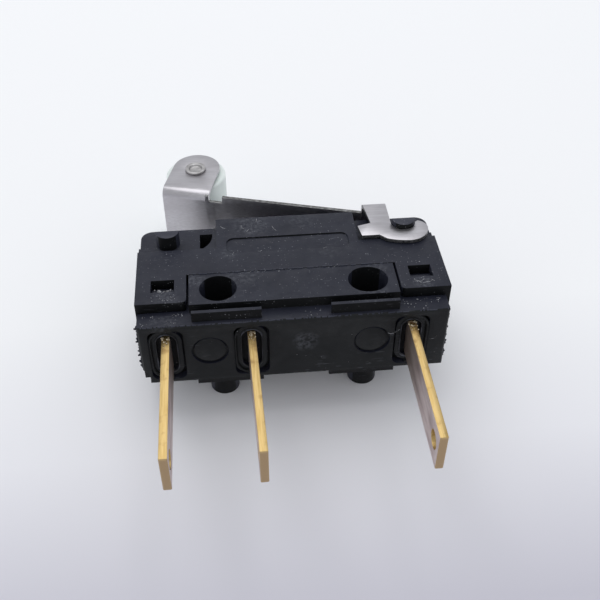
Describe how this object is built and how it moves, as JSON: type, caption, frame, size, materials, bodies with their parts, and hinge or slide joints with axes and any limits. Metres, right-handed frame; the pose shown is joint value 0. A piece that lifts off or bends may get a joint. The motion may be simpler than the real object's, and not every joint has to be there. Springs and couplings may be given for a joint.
{
  "type": "micro switch",
  "caption": "Subminiature snap-action micro switch with a steel roller lever, flat terminals, mounting holes and locating pegs.",
  "frame": {"origin": "on the back mounting face, midway between the two mounting holes", "axes": "+X along the case towards the lever's hinge, +Y towards the plunger and the lever, +Z out of the front face"},
  "size_m": [0.0198, 0.0276, 0.0096],
  "materials": {
    "case_plastic": "fine matte, lightly scratched",
    "plunger_plastic": "smooth",
    "roller_plastic": "smooth, pale greenish white",
    "lever_steel": "rolled stainless sheet",
    "terminal_brass": "plain rolled brass",
    "contact_silver": "silver alloy",
    "spring_copper": "beryllium copper strip"
  },
  "bodies": {
    "case": {"cover": "case_plastic", "base": "case_plastic", "com_terminal": "terminal_brass", "no_terminal": "terminal_brass", "nc_terminal": "terminal_brass", "nc_contact": "contact_silver", "no_contact": "contact_silver"},
    "lever": {"lever": "lever_steel", "roller_pin": "lever_steel"},
    "roller": {"roller": "roller_plastic"},
    "plunger": {"plunger": "plunger_plastic"},
    "rocker": {"actuator_rocker": "spring_copper"},
    "arm": {"contact_arm": "spring_copper", "moving_contact": "contact_silver", "snap_spring": "lever_steel"}
  },
  "joints": [
    {"name": "lever_hinge", "type": "hinge", "parent": "case", "child": "lever", "pos_m": [0.00794, 0.00528, 0.0032], "axis": [0, 0, 1], "range_deg": [0, 8], "stiffness_Nm_per_rad": 0.01, "springref_deg": -9.74, "deforming": ["snap_spring"]},
    {"name": "roller_spin", "type": "hinge", "parent": "lever", "child": "roller", "pos_m": [-0.00604, 0.0138, 0.0032], "axis": [0, 0, 1], "continuous": true},
    {"name": "plunger_slide", "type": "slide", "parent": "case", "child": "plunger", "axis": [0, -1, 0], "range_m": [0, 0.00082]},
    {"name": "rocker_hinge", "type": "hinge", "parent": "case", "child": "rocker", "pos_m": [0.00705, 0.00455, 0.0032], "axis": [0, 0, 1], "range_deg": [0, 10.6]},
    {"name": "arm_hinge", "type": "hinge", "parent": "case", "child": "arm", "pos_m": [0.00705, 0.003, 0.0032], "axis": [0, 0, 1], "range_deg": [0, 2.1]}
  ],
  "couplings": [
    {"joint": "plunger_slide", "follows": "lever_hinge", "m_per_rad": 0.0058},
    {"joint": "rocker_hinge", "follows": "lever_hinge", "ratio": 1.315},
    {"joint": "arm_hinge", "follows": "lever_hinge", "ratio": 0.262}
  ]
}
